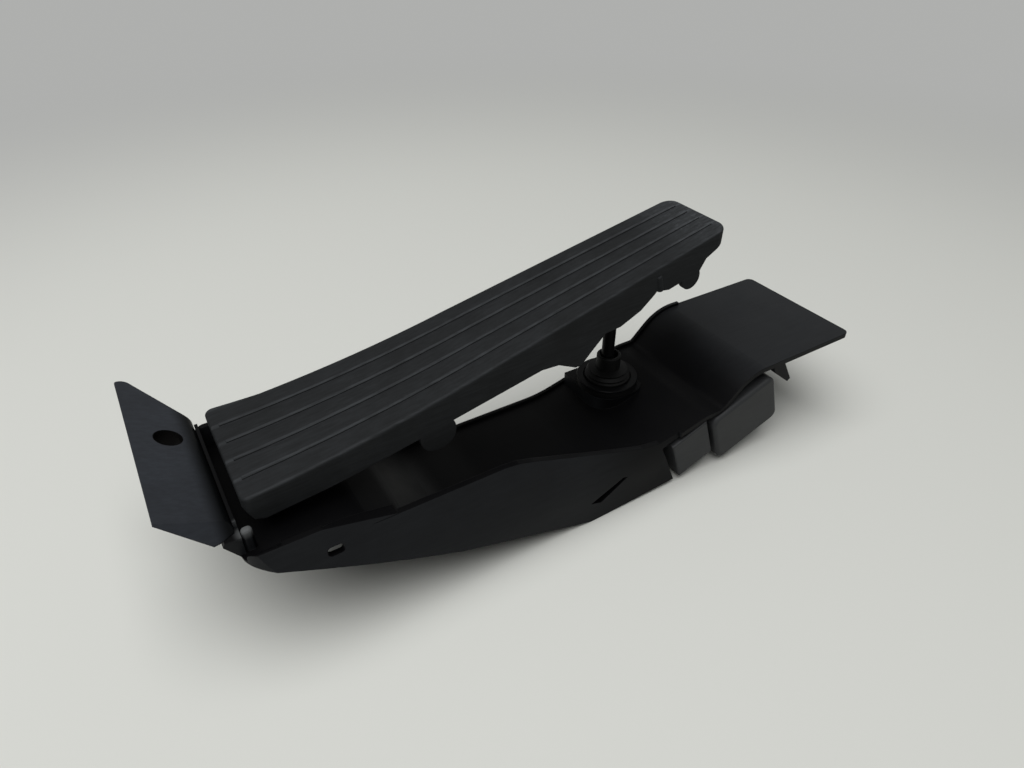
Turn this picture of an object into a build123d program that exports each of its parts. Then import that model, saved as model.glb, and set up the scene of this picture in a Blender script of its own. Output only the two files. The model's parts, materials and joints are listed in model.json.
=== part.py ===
from build123d import *
import os
from math import atan2, cos, degrees, hypot, radians, sin, tan

os.makedirs("parts", exist_ok=True)

# Frame: X runs from heel to toe, Z is up, the near side is -Y,
# and the origin is on the sole, straight under the push rod.

# Clearances
running_gap = 0.04          # shaft in its bush, on the radius
seat_gap = 0.05             # fixed round piece in its seat, on the radius
play = 0.4                  # between pieces that pass each other

# Base moulding
wall = 2.4                  # walls and deck
near_y = -45.8              # near edge
far_y = 16.6                # far edge
heel_far_y = 31.0           # far edge at the heel, where the base is wider
heel_x = -171.0             # heel end of the sole
flare_x = -76.0             # where the far edge starts to widen towards the heel
heel_flare_x = -150.0       # where it is at its widest
toe_x = 107.7               # toe end of the flange
heel_corner_length = 33.0   # near heel corner, a quarter of an ellipse seen from above
heel_corner_width = 15.0
toe_corner_r = 3.0          # corners of the flange
sole_flat_x = -39.5         # heel end of the flat sole
sole_bend_x = -100.0        # the sole rises to here, then more steeply to the heel
sole_bend_z = 18.5
sole_heel_z = 45.2
skirt_rise = 2.2            # rise of the near wall's lower edge towards the toe
heel_deck_z = 46.0          # deck under the hinge barrel
trough_z = 20.5             # deck under the middle of the pad
ramp_z = 32.3               # deck beside the riser
flange_z = 46.0             # top of the toe flange
heel_deck_x = -132.0        # toe end of the heel deck
trough_x = -76.0            # heel end of the trough's floor
ramp_x = -26.0              # heel end of the ramp
ramp_top_x = 20.0           # toe end of the ramp
riser_x = 27.0              # foot of the riser
riser_top_x = 45.0          # head of the riser
riser_foot_r = 4.0
riser_head_r = 22.0
lean_z = 14.0               # height above which the near wall curves in
lean_r = 78.0               # radius of the curve
lean_angle = 18.0           # its lean above the curve
ridge_z = 44.8              # crest of the near wall
ridge_heel_x = -136.0       # heel end of the crest
ridge_toe_x = -72.0         # toe end of the crest
ridge_foot_x = -14.0        # where the near wall comes down to the ramp
ridge_foot_z = 28.3
far_wall_z = 45.2           # crest of the far wall beside the heel
shelf_z = 50.0              # shelf along the near heel corner
shelf_width = 11.0
wall_heel_x = heel_x + 12    # heel end of the near wall above the shelf
shelf_rim_r = 3.0
deck_rib_depth = 7.0        # cross ribs under the deck
rib_wall = 1.6              # thickness of moulded ribs
lip_width = 1.6             # upstand along the far edge of the deck
lip_height = 1.4
lip_toe_x = 56.0            # its toe end, on the flange
tail_x = 52.0               # foot of the wall that ends the lever chamber
tail_top_x = 64.0           # its head, under the flange
chamber_y = -12.0           # near side of the lever chamber
chamber_x = -30.0           # heel side of the lever chamber
window_x = -143.5           # oblong window in the near wall
window_z = 41.4
window_length = 6.0
window_height = 3.2
slit = [(-40.2, 11.0), (-34.9, 9.2), (-21.6, 17.4), (-24.2, 17.9)]  # tapering slit in the near wall
bay_x = 7.3                 # toe end of the near wall, at the sole
tongue_x = 57.0             # tongue under the near edge of the flange
tongue_root = 7.0
tongue_drop = 12.0
tongue_reach = 14.5

# Heel hinge
hinge_x = -158.0
hinge_z = 53.0
pin_r = 2.0
barrel_r = 4.6
bush_wall = 1.2
bush_length = 4.6
lug_r = 4.8
lug_inner_y = 11.0          # two lugs of the base, inside the pad
lug_outer_y = 15.0
pin_half = 20.0

# Heel plate
plate_root_x = -170.6       # its edge beside the hinge
plate_root_z = 56.2
plate_tilt = 26.0           # its top, up towards the outer edge
plate_length = 22.6         # along the top
plate_wall = 2.4
plate_sole_tilt = 42.0      # its underside
plate_near_y = -25.0        # near edge of its top
plate_far_y = 34.0          # far edge beside the hinge
plate_outer_far_y = 64.6    # far end of the outer edge
plate_tip = 0.4             # thickness of the outer edge
plate_corner_r = 2.5
plate_root_r = 3.0          # its top curves down beside the hinge
plate_low_x = -177.4        # lowest corner of the near flank
plate_low_y = -30.8
bolt_r = 4.9                # hole for the floor stud
bolt_boss_wall = 2.2        # boss under the plate, round the hole
bolt_boss_length = 7.0      # from the plate's top face
bolt_along = 10.1           # from the root edge, along the top
bolt_y = 21.2
rib_top_z = 56.2            # thin rib of the base beside the root
rib_width = 1.2
post_x = -167.2             # small post at the near end of the rib
post_y = -29.2
post_length = 3.6
post_width = 3.0
post_height = 9.8
seat_z = 53.2               # ledge of the base that carries the plate

# Pedal pad
pad_heel_x = -166.0
pad_toe_x = 43.0
pad_heel_z = 62.8           # top face at the heel
pad_bend_x = -70.3          # end of the curved stretch
pad_bend_z = 78.1
pad_bow_x = -118.0          # middle of the curved stretch
pad_bow_z = 68.5
pad_toe_slope = 0.228       # straight stretch up to the toe
pad_heel_half = 26.0        # half width at the heel
pad_flare = 2.2             # the far heel corner stands out
pad_flare_length = 20.0
pad_rib_pitch = 34.5        # cross ribs under its skin
pad_rib_depth = 8.0
pad_toe_rib_x = 24.0
bead_r = 1.4                # upright bead on each skirt, beside the rod
bead_x = 7.8
bead_z = 84.6
bead_top_x = 6.0
bead_top_z = 91.5
pad_toe_half = 18.2
pad_skin = 3.0
pad_skirt = 2.2
pad_toe_corner_r = 6.0
pad_heel_corner_r = 3.0
pad_edge_r = 1.2            # rounded edges of the top
tread_count = 4             # thin ribs along the tread
tread_height = 0.4
tread_width = 1.6
front_lobe_x = -96.0        # lobes on the skirts' lower edge
front_lobe_z = 57.6
front_lobe_r = 7.4
rear_lobe_x = 24.6
rear_lobe_z = 85.2
rear_lobe_r = 5.0

# Push rod and boot
ball_z = 80.0               # ball in the pad's socket
ball_r = 3.5
neck_r = 2.0
rod_r = 2.8
rod_foot_r = 2.6
pivot_z = 30.0              # cross pin in the lever's fork
cross_pin_r = 1.4
cross_pin_half = 5.6
socket_r = 6.5
socket_low_z = 77.6
socket_top_z = 86.0
boot_x = 0.9                # boot's axis, set for the middle of the rod's sway
boot_seat_z = 30.5
boot_flange_r = 14.0
boot_flange = 2.0
boot_wall_r = 10.3
boot_inner_r = 8.6
boot_shoulder_z = 38.2
boot_top_z = 45.0
collar_r = 5.5
collar_bore_r = 4.2
ring_inner_r = 10.7
ring_height = 1.1
seat_heel = 13.6            # boot seat, from the boot's axis
seat_toe = 14.6
seat_half = 14.4
seat_corner_r = 11.0        # its near corners

# Sensor unit, tilted about its lower heel corner
sensor_tilt = 20.0
sensor_x = 32.4
sensor_z = 1.8
sensor_length = 37.0
sensor_height = 27.5
sensor_near_y = -44.3
cover_thick = 3.0
sensor_corner_r = 4.0
case_wall = 2.0
pocket_depth = 7.8
pocket_margin = 3.5
mouth_depth = 9.0           # connector's mouth in the toe end
mouth_height = 18.0
mouth_near_y = -40.5
mouth_far_y = -19.5
pin_count = 3               # connector pins in each of two rows
pin_pitch = 5.0
pin_row_pitch = 2.6
pin_rise = 4.2              # middle of the two rows above the mouth's lower side
pin_thick = 0.8
pin_reach = 6.5
cap_x = 9.3                 # small box beside it, tilted alike
cap_z = 2.3
cap_length = 19.5
cap_height = 21.5
cap_near_y = -46.2

# Sensor lever
lever_x = 44.8
lever_z = 19.5
shaft_r = 3.0
hub_r = 7.0
hub_near_y = -11.0
hub_far_y = 9.6
fork_inner = 3.2            # half gap of the fork
fork_outer = 5.2
fork_slot = 1.75            # half width of its slot
carrier_r = 7.5
magnet_r = 4.5
board_thick = 1.4

# Lever chamber
cover_plate = 1.6
boss_r = 2.6
screw_r = 1.2
screw_head_r = 2.3
screw_head = 0.8
screw_length = 10.0
screw_heel_x = -25.0
screw_toe_x = 20.0
screw_near_y = -8.6
screw_far_y = 10.8
spring_x = 30.0
spring_seat_z = 16.0        # spring pad under the lever
outer_coil_r = 4.2
outer_wire_r = 0.65
inner_coil_r = 2.4
inner_wire_r = 0.45
spring_turns = 3.5
buffer_x = 16.0
buffer_length = 6.0
buffer_half = 4.0
buffer_height = 1.2


def side_plane(y):
    return Plane(origin=(0, y, 0), x_dir=(1, 0, 0), z_dir=(0, -1, 0))


# Slab with an outline seen from the side, between two planes across the pedal
def side_slab(points, far, near):
    with BuildPart() as slab:
        with BuildSketch(side_plane(far)):
            with BuildLine():
                Polyline(*points, close=True)
            make_face()
        extrude(amount=far - near)
    return slab.part


# Slab with an outline seen from above
def plan_slab(points, low, high):
    with BuildPart() as slab:
        with BuildSketch(Plane.XY.offset(low)):
            with BuildLine():
                Polyline(*points, close=True)
            make_face()
        extrude(amount=high - low)
    return slab.part


# Slab with an outline across the pedal, between two stations along it
def cross_slab(points, heel, toe):
    with BuildPart() as slab:
        with BuildSketch(Plane(origin=(heel, 0, 0), x_dir=(0, 1, 0), z_dir=(1, 0, 0))):
            with BuildLine():
                Polyline(*points, close=True)
            make_face()
        extrude(amount=toe - heel)
    return slab.part


# Round bar across the pedal
def cross_bar(x, z, radius, far, near):
    with BuildPart() as bar:
        with BuildSketch(side_plane(far)):
            with Locations((x, z)):
                Circle(radius)
        extrude(amount=far - near)
    return bar.part


# Line parallel to an open line, at a distance on its right
def parallel(points, distance):
    moved = []
    last = len(points) - 1
    for i, (x, z) in enumerate(points):
        before = points[max(i - 1, 0)]
        after = points[min(i + 1, last)]
        turn_in = atan2(z - before[1], x - before[0]) if i else None
        turn_out = atan2(after[1] - z, after[0] - x) if i < last else turn_in
        turn_in = turn_out if turn_in is None else turn_in
        middle = (turn_in + turn_out) / 2
        reach = distance / cos((turn_out - turn_in) / 2)
        moved.append((x + reach * sin(middle), z - reach * cos(middle)))
    return moved


def sole_height(x):
    if x < sole_bend_x:
        run = (sole_bend_x - x) / (sole_bend_x - heel_x)
        return sole_bend_z + run * (sole_heel_z - sole_bend_z)
    return max(0.0, sole_bend_z * (sole_flat_x - x) / (sole_flat_x - sole_bend_x))


# Corners of the deck's top, from heel to toe, with their radii
riser_foot_x = riser_x + 1.8
riser_head_x = riser_top_x - 2.2
deck_corners = [
    (heel_x, heel_deck_z, 0),
    (heel_deck_x, heel_deck_z, 10),
    (heel_deck_x + 14, heel_deck_z - 6.5, 15),
    (trough_x - 22, trough_z + 3.2, 18),
    (trough_x, trough_z, 40),
    (ramp_x, trough_z, 60),
    (ramp_top_x, ramp_z, 12),
    (riser_foot_x, ramp_z, riser_foot_r),
    (riser_head_x, flange_z, riser_head_r),
    (toe_x, flange_z, 0),
]
deck_line = [(x, z) for x, z, radius in deck_corners]
deck_under = parallel(deck_line, wall)


def deck_height(x):
    for (x0, z0), (x1, z1) in zip(deck_line, deck_line[1:]):
        if x0 <= x <= x1:
            return z0 + (z1 - z0) * (x - x0) / (x1 - x0)


# Slab whose outline follows the deck at some depths, with the deck's round corners
def deck_slab(points, depths, far, near):
    with BuildPart() as slab:
        with BuildSketch(side_plane(far)):
            with BuildLine():
                Polyline(*points, close=True)
            make_face()
            for depth in depths:
                places = parallel(deck_line, depth)
                for i in range(1, len(deck_corners) - 1):
                    (x0, z0), (x1, z1), (x2, z2) = deck_line[i - 1:i + 2]
                    valley = (z2 - z1) * (x1 - x0) > (z1 - z0) * (x2 - x1)
                    radius = deck_corners[i][2] + (depth if valley else -depth)
                    corner = vertices().sort_by_distance(places[i])[0]
                    if (corner.center() - Vector(*places[i])).length < 0.01:
                        fillet(corner, radius)
        extrude(amount=far - near)
    return slab.part


big = 200.0

# Base moulding: outer form, hollow from below
base_outline = deck_line + [
    (toe_x, flange_z - wall),
    (tail_top_x, flange_z - wall),
    (tail_x, 0),
    (sole_flat_x, 0),
    (sole_bend_x, sole_bend_z),
    (heel_x, sole_height(heel_x)),
]
base_block = deck_slab(base_outline, [0], heel_far_y, near_y)
shelf_side = side_slab(
    [
        (heel_x, heel_deck_z - 1),
        (heel_x + 2, shelf_z),
        (ridge_heel_x - 10, shelf_z),
        (ridge_heel_x + 16, heel_deck_z - 1),
    ],
    near_y + shelf_width,
    near_y,
)
with BuildPart() as shelf_block:
    with BuildSketch(Plane(origin=(heel_x, 0, 0), x_dir=(0, 1, 0), z_dir=(1, 0, 0))):
        with BuildLine():
            shelf_top = Line((near_y, shelf_z), (near_y + shelf_width - shelf_rim_r, shelf_z))
            rim = JernArc(shelf_top @ 1, (1, 0), shelf_rim_r, -90)
            Polyline(
                rim @ 1,
                (near_y + shelf_width, heel_deck_z - 1),
                (near_y, heel_deck_z - 1),
                (near_y, shelf_z),
            )
        make_face()
    extrude(amount=ridge_heel_x - heel_x + 16)
    add(shelf_side, mode=Mode.INTERSECT)
with BuildPart() as plan_block:
    with BuildSketch():
        with BuildLine():
            heel_corner = EllipticalCenterArc(
                (heel_x + heel_corner_length, near_y + heel_corner_width),
                heel_corner_length,
                heel_corner_width,
                start_angle=180,
                arc_size=90,
            )
            Polyline(
                heel_corner @ 1,
                (toe_x, near_y),
                (toe_x, far_y),
                (flare_x, far_y),
                (heel_flare_x, heel_far_y),
                (heel_x, heel_far_y),
                heel_corner @ 0,
            )
        make_face()
        fillet(vertices().sort_by(Axis.X)[-2:], toe_corner_r)
    extrude(amount=big)


# Block beside the near wall's curve: straight up, then an arc, then a straight lean
def lean_block(outer_y, inward, heel, toe):
    with BuildPart() as block:
        with BuildSketch(Plane(origin=(heel, 0, 0), x_dir=(0, 1, 0), z_dir=(1, 0, 0))):
            with BuildLine():
                upright = Line((near_y + inward, -20), (near_y + inward, lean_z))
                curve = JernArc(upright @ 1, (0, 1), lean_r - inward, -lean_angle)
                straight = Line(curve @ 1, curve @ 1 + (curve % 1) * 80)
                top_z = (straight @ 1).Y
                Polyline(straight @ 1, (outer_y, top_z), (outer_y, -20), upright @ 0)
            make_face()
        extrude(amount=toe - heel)
    return block.part


lean_toe_x = 6.0
lean_cut = lean_block(near_y - 10, 0, heel_x - 1, lean_toe_x)
# Hollow under the deck
under_heel_x = heel_x + 21
hollow_line = [p for p in deck_under if under_heel_x < p[0] < tail_top_x - 8]
hollow_outline = (
    [(under_heel_x, -5), (under_heel_x, heel_deck_z - wall)]
    + hollow_line
    + [(tail_top_x - wall, flange_z - wall - 0.2), (tail_x - wall, -5)]
)
hollow_block = deck_slab(hollow_outline, [wall], heel_far_y, near_y)
hollow_plan = plan_slab(
    [
        (under_heel_x, near_y + wall),
        (toe_x, near_y + wall),
        (toe_x, far_y - wall),
        (flare_x + 1, far_y - wall),
        (heel_flare_x + 1, heel_far_y - wall),
        (under_heel_x, heel_far_y - wall),
    ],
    -10,
    big / 2,
)
hollow_lean = lean_block(near_y - 10, wall, heel_x - 1, lean_toe_x)
with BuildPart() as hollow:
    add(hollow_block)
    add(hollow_plan, mode=Mode.INTERSECT)
    add(hollow_lean, mode=Mode.SUBTRACT)

# Cross ribs under the deck, between the walls
with BuildPart() as deck_ribs:
    for x in (trough_x - 2, trough_x - 32):
        top = deck_height(x) - wall
        outline = [
            (near_y, top - deck_rib_depth),
            (heel_far_y, top - deck_rib_depth),
            (heel_far_y, top + wall / 2),
            (near_y, top + wall / 2),
        ]
        add(cross_slab(outline, x, x + rib_wall))
    add(hollow.part, mode=Mode.INTERSECT)

# Near wall, which stands above the deck and leans in
wall_outline = [
    (wall_heel_x, heel_deck_z),
    (wall_heel_x, shelf_z),
    (ridge_heel_x - 10, shelf_z),
    (ridge_heel_x - 2, ridge_z + 0.6),
    (ridge_heel_x + 8, ridge_z),
    (ridge_toe_x - 6, ridge_z),
    (ridge_toe_x, ridge_z - 0.5),
    (ridge_toe_x + 6, ridge_z - 1.9),
    (ridge_foot_x, ridge_foot_z),
    (ridge_foot_x + 9, ridge_foot_z - 1.2),
    (lean_toe_x, deck_height(lean_toe_x)),
    (lean_toe_x, deck_height(lean_toe_x) - wall),
    (ridge_foot_x, 1.0),
    (sole_flat_x + 1, 1.0),
    (sole_bend_x, sole_bend_z + 1.0),
    (heel_x + 20, sole_height(heel_x + 20) + 1.0),
]
wall_side = side_slab(wall_outline, 0, near_y - 1)
wall_inside = lean_block(near_y - 10, wall, wall_heel_x, lean_toe_x)
with BuildPart() as near_wall:
    add(wall_inside)
    add(lean_cut, mode=Mode.SUBTRACT)
    add(wall_side, mode=Mode.INTERSECT)

# Far wall beside the heel, where the base flares: it comes down to the lip
far_wall_side = side_slab(
    [
        (heel_deck_x - 8, heel_deck_z - 0.6),
        (heel_deck_x, far_wall_z),
        (heel_deck_x + 20, far_wall_z - 0.6),
        (heel_deck_x + 33, far_wall_z - 6.5),
        (flare_x - 10, trough_z + 7),
        (flare_x, trough_z + lip_height),
        (flare_x, trough_z - wall / 2),
        (trough_x - 22, trough_z + 3.2 - wall / 2),
        (heel_deck_x + 14, heel_deck_z - 6.5 - wall / 2),
        (heel_deck_x - 8, heel_deck_z - wall),
    ],
    heel_far_y + 1,
    far_y - wall - 1,
)
with BuildPart() as far_wall:
    add(far_wall_side)
    far_wall_plan = plan_slab(
        [
            (heel_flare_x, heel_far_y),
            (flare_x, far_y),
            (flare_x, far_y - lip_width),
            (heel_flare_x, heel_far_y - lip_width),
        ],
        0,
        big / 2,
    )
    add(far_wall_plan, mode=Mode.INTERSECT)

# Room for the sensor unit and the side cap under the near half of the deck
bay_line = [p for p in deck_under if ramp_x < p[0] < tail_top_x]
bay_outline = (
    [(bay_x, -1), (-3.5, deck_height(-3.5) - wall - 0.1)]
    + [p for p in bay_line if p[0] > -3.5]
    + [(tail_top_x + 6, flange_z - wall), (tail_top_x + 6, -1)]
)
bay = deck_slab(bay_outline, [wall], chamber_y - wall, near_y - 1)

# Inner walls of the lever chamber
chamber_line = [p for p in deck_under if chamber_x < p[0] < tail_top_x - 8]
chamber_outline = (
    [(chamber_x, 0), (chamber_x, trough_z - wall / 2)]
    + [(x, z + wall / 4) for x, z in chamber_line]
    + [(tail_top_x - wall / 2, flange_z - wall), (tail_x - wall / 2, 0)]
)
chamber_side = side_slab(chamber_outline, chamber_y, chamber_y - wall)
chamber_end = cross_slab(
    [
        (chamber_y - wall, 0),
        (far_y - wall / 2, 0),
        (far_y - wall / 2, trough_z - wall / 2),
        (chamber_y - wall, trough_z - wall / 2),
    ],
    chamber_x - wall,
    chamber_x,
)
far_boss = cross_bar(lever_x, lever_z, hub_r, far_y - wall / 2, hub_far_y + play)

# Far lip, heel ledge with its thin rib, hinge cheeks and boot seat
lip_line = [p for p in deck_line if flare_x <= p[0] < toe_x] + [(lip_toe_x, flange_z)]
lip_outline = parallel(lip_line, -lip_height) + parallel(lip_line, wall / 2)[::-1]
lip = deck_slab(lip_outline, [-lip_height, wall / 2], far_y, far_y - lip_width)
ledge = side_slab(
    [
        (heel_x, sole_height(heel_x)),
        (heel_x - 4.2, seat_z - 1.4),
        (heel_x - 3.4, seat_z),
        (heel_x + 1.8, seat_z),
        (heel_x + 1.8, heel_deck_z - 0.5),
        (heel_x + 5, heel_deck_z - 1.2),
        (heel_x + 5, sole_height(heel_x + 5) + 0.2),
    ],
    heel_far_y,
    -heel_far_y,
)
rib_x = plate_root_x + 0.2
rib = side_slab(
    [
        (rib_x, seat_z - 1),
        (rib_x, rib_top_z),
        (rib_x + rib_width, rib_top_z),
        (rib_x + rib_width, seat_z - 1),
    ],
    heel_far_y - 1,
    plate_near_y - 1,
)
lug_outline = [
    (hinge_x - lug_r, heel_deck_z - 1),
    (hinge_x - lug_r, hinge_z),
    (hinge_x + lug_r, hinge_z),
    (hinge_x + lug_r + 5, heel_deck_z - 1),
]
with BuildPart() as corner_post:
    with BuildSketch(Plane.XY.offset(heel_deck_z - 1)):
        with Locations((post_x, post_y)):
            RectangleRounded(post_length, post_width, post_width / 2 - 0.1)
    extrude(amount=post_height)
    fillet(edges().group_by(Axis.Z)[-1], 1.2)
seat_outline = [
    (boot_x - seat_heel, deck_height(boot_x - seat_heel) - wall / 2),
    (boot_x - seat_heel, boot_seat_z),
    (boot_x + seat_toe, boot_seat_z),
    (boot_x + seat_toe, deck_height(boot_x + seat_toe) - wall / 2),
]
with BuildPart() as boot_seat:
    with BuildSketch(side_plane(seat_half)):
        with BuildLine():
            Polyline(*seat_outline, close=True)
        make_face()
    extrude(amount=2 * seat_half)
    fillet(edges().filter_by(Axis.Z).group_by(Axis.Y)[0], seat_corner_r)
tongue = side_slab(
    [
        (tongue_x, flange_z - wall / 2),
        (tongue_x + tongue_root, flange_z - wall / 2),
        (tongue_x + tongue_reach, flange_z - tongue_drop - 1),
        (tongue_x + tongue_reach - 1.6, flange_z - tongue_drop - 2.2),
        (tongue_x + 2.2, flange_z - wall - 3.2),
    ],
    near_y + wall,
    near_y,
)
lugs = []
for far, near in ((lug_outer_y, lug_inner_y), (-lug_inner_y, -lug_outer_y)):
    lugs.append(cross_bar(hinge_x, hinge_z, lug_r, far, near))
    lugs.append(side_slab(lug_outline, far, near))
screw_places = [
    (x, y) for x in (screw_heel_x, screw_toe_x) for y in (screw_near_y, screw_far_y)
]
shaft_bush_r = shaft_r + running_gap + bush_wall
skirt_cut = side_slab(
    [
        (sole_flat_x + 2, 0),
        (bay_x, skirt_rise),
        (bay_x + 4, skirt_rise),
        (bay_x + 4, -1),
        (sole_flat_x + 2, -1),
    ],
    near_y + wall + 2,
    near_y - 1,
)

with BuildPart() as base_moulding:
    add(base_block)
    add(shelf_block.part)
    add(plan_block.part, mode=Mode.INTERSECT)
    add(lean_cut, mode=Mode.SUBTRACT)
    add(hollow.part, mode=Mode.SUBTRACT)
    add([near_wall.part, far_wall.part])
    add(bay, mode=Mode.SUBTRACT)
    add(deck_ribs.part)
    add(chamber_side)
    add(chamber_end)
    add(far_boss)
    add([lip, ledge, rib, tongue])
    add(lugs)
    add(corner_post.part)
    add(boot_seat.part)
    for x, y in screw_places:
        with Locations((x, y, cover_plate)):
            Cylinder(
                boss_r,
                deck_height(x) - wall / 2 - cover_plate,
                align=(Align.CENTER, Align.CENTER, Align.MIN),
            )
    with Locations(*[(x, y, 0) for x, y in screw_places]):
        Cylinder(
            screw_r + seat_gap,
            screw_length + 2,
            align=(Align.CENTER, Align.CENTER, Align.MIN),
            mode=Mode.SUBTRACT,
        )
    # Recess for the boot's flange, and the way for the lever and the rod through the deck
    with Locations((boot_x, 0, boot_seat_z)):
        Cylinder(
            boot_flange_r + play,
            6,
            align=(Align.CENTER, Align.CENTER, Align.MIN),
            mode=Mode.SUBTRACT,
        )
    with Locations((boot_x + 1.7, 0, boot_seat_z)):
        Box(19.6, 13.6, 19, mode=Mode.SUBTRACT)
    # Bores for the hinge pin, the lever's bushes and the shaft
    with BuildSketch(side_plane(lug_outer_y + 1)):
        with Locations((hinge_x, hinge_z)):
            Circle(pin_r + seat_gap)
    extrude(amount=2 * lug_outer_y + 2, mode=Mode.SUBTRACT)
    with BuildSketch(side_plane(far_y - wall)):
        with Locations((lever_x, lever_z)):
            Circle(shaft_bush_r + seat_gap)
    extrude(amount=far_y - chamber_y, mode=Mode.SUBTRACT)
    # Lower edge of the near wall, which rises towards the toe
    add(skirt_cut, mode=Mode.SUBTRACT)
    # Window and slit in the near wall
    with BuildSketch(side_plane(near_y + 12)):
        with Locations((window_x, window_z)):
            SlotOverall(window_length, window_height)
    extrude(amount=15, mode=Mode.SUBTRACT)
    with BuildSketch(side_plane(near_y + wall + 1)):
        with BuildLine():
            Polyline(*slit, close=True)
        make_face()
    extrude(amount=wall + 2, mode=Mode.SUBTRACT)
base_moulding.part.label = "base_moulding"
export_step(base_moulding.part, "parts/base_moulding.step")

# Heel plate: hollow wedge with a flaring near flank and the bolt hole
tilt = radians(plate_tilt)
plate_tip_x = plate_root_x - plate_length * cos(tilt)
plate_tip_z = plate_root_z + plate_length * sin(tilt)
sole_tilt = radians(plate_sole_tilt)
plate_low_z = plate_tip_z - plate_tip - (plate_low_x - plate_tip_x) * tan(sole_tilt)
plate_outer = side_slab(
    [
        (plate_tip_x, plate_tip_z),
        (plate_root_x, plate_root_z),
        (plate_root_x, seat_z),
        (heel_x - 4.4, seat_z),
        (plate_low_x, plate_low_z),
        (plate_tip_x - plate_tip / 2, plate_tip_z - plate_tip),
    ],
    plate_outer_far_y + 1,
    plate_low_y - 1,
)
plate_under_z = plate_root_z + (plate_wall * sin(tilt) - plate_wall) / cos(tilt)
plate_inner = side_slab(
    [
        (plate_tip_x, plate_tip_z - plate_wall / cos(tilt)),
        (plate_root_x - plate_wall, plate_under_z),
        (plate_root_x - plate_wall, seat_z - 20),
        (plate_tip_x, seat_z - 20),
    ],
    plate_outer_far_y + 1,
    plate_low_y - 1,
)
with BuildPart() as plate_plan:
    with BuildSketch():
        with BuildLine():
            Polyline(
                (plate_root_x, plate_low_y - 1),
                (plate_root_x, plate_far_y),
                (plate_tip_x - plate_tip / 2, plate_outer_far_y),
                (plate_tip_x - plate_tip / 2, plate_low_y - 1),
                close=True,
            )
        make_face()
        fillet(vertices().sort_by(Axis.Y)[-1], plate_corner_r)
    extrude(amount=big)
flank = (
    Vector(plate_tip_x - plate_root_x, 0, plate_tip_z - plate_root_z)
    .cross(Vector(plate_low_x - plate_root_x, plate_low_y - plate_near_y, plate_low_z - plate_root_z))
    .normalized()
)
flank = flank if flank.Y < 0 else flank * -1
plate_fold = Vector(plate_root_x, plate_near_y, plate_root_z)
far_run = hypot(plate_tip_x - plate_root_x, plate_outer_far_y - plate_far_y)
far_shift = plate_wall * far_run / (plate_root_x - plate_tip_x)
with BuildPart() as plate_hollow:
    add(plate_inner)
    with BuildSketch(Plane.XY.offset(-big)):
        with BuildLine():
            Polyline(
                (plate_root_x, plate_low_y - 2),
                (plate_root_x, plate_far_y - far_shift),
                (plate_tip_x, plate_outer_far_y - far_shift),
                (plate_tip_x, plate_low_y - 2),
                close=True,
            )
        make_face()
    extrude(amount=2 * big, mode=Mode.INTERSECT)
    split(bisect_by=Plane(plate_fold - flank * plate_wall, z_dir=flank), keep=Keep.BOTTOM)
bolt_place = Vector(
    plate_root_x - bolt_along * cos(tilt), bolt_y, plate_root_z + bolt_along * sin(tilt)
)
plate_normal = Vector(sin(tilt), 0, cos(tilt))
with BuildPart() as bolt_boss:
    with BuildSketch(Plane(bolt_place - plate_normal * plate_wall / 2, z_dir=plate_normal)):
        Circle(bolt_r + bolt_boss_wall)
    extrude(amount=plate_wall / 2 - bolt_boss_length)
with BuildPart() as heel_plate:
    add(plate_outer)
    add(plate_plan.part, mode=Mode.INTERSECT)
    split(bisect_by=Plane(plate_fold, z_dir=flank), keep=Keep.BOTTOM)
    add(plate_hollow.part, mode=Mode.SUBTRACT)
    add(bolt_boss.part)
    with BuildSketch(Plane(bolt_place + plate_normal * 5, z_dir=plate_normal)):
        Circle(bolt_r)
    extrude(amount=-20, mode=Mode.SUBTRACT)
    root_edge = edges().filter_by(Axis.Y).sort_by_distance((plate_root_x, 0, plate_root_z))[0]
    fillet(root_edge, plate_root_r)
heel_plate.part.label = "heel_plate"
export_step(heel_plate.part, "parts/heel_plate.step")

# Steel pin of the heel hinge
with BuildPart() as heel_pin:
    with BuildSketch(side_plane(pin_half)):
        with Locations((hinge_x, hinge_z)):
            Circle(pin_r)
    extrude(amount=2 * pin_half)
    chamfer(edges().filter_by(GeomType.CIRCLE), 0.4)
heel_pin.part.label = "heel_pin"
export_step(heel_pin.part, "parts/heel_pin.step")


# Top face of the pad seen from the side, raised by a height
def pad_top(raised):
    bow = ThreePointArc(
        (pad_heel_x, pad_heel_z + raised),
        (pad_bow_x, pad_bow_z + raised),
        (pad_bend_x, pad_bend_z + raised),
    )
    return bow, Line(bow @ 1, (pad_toe_x, pad_toe_z + raised))


pad_toe_z = pad_bend_z + pad_toe_slope * (pad_toe_x - pad_bend_x)
pad_half_drop = (pad_heel_half - pad_toe_half) / (pad_toe_x - pad_heel_x)


def pad_half(x):
    return pad_heel_half - pad_half_drop * (x - pad_heel_x)


# Height of the top face: a parabola close to the curved stretch, then straight
def pad_height(x):
    if x > pad_bend_x:
        return pad_bend_z + pad_toe_slope * (x - pad_bend_x)
    run = (x - pad_heel_x) / (pad_bend_x - pad_heel_x)
    bow_run = (pad_bow_x - pad_heel_x) / (pad_bend_x - pad_heel_x)
    rise = pad_bend_z - pad_heel_z
    sag = (rise * bow_run - (pad_bow_z - pad_heel_z)) / (bow_run * (1 - bow_run))
    return pad_heel_z + rise * run - sag * run * (1 - run)


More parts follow.
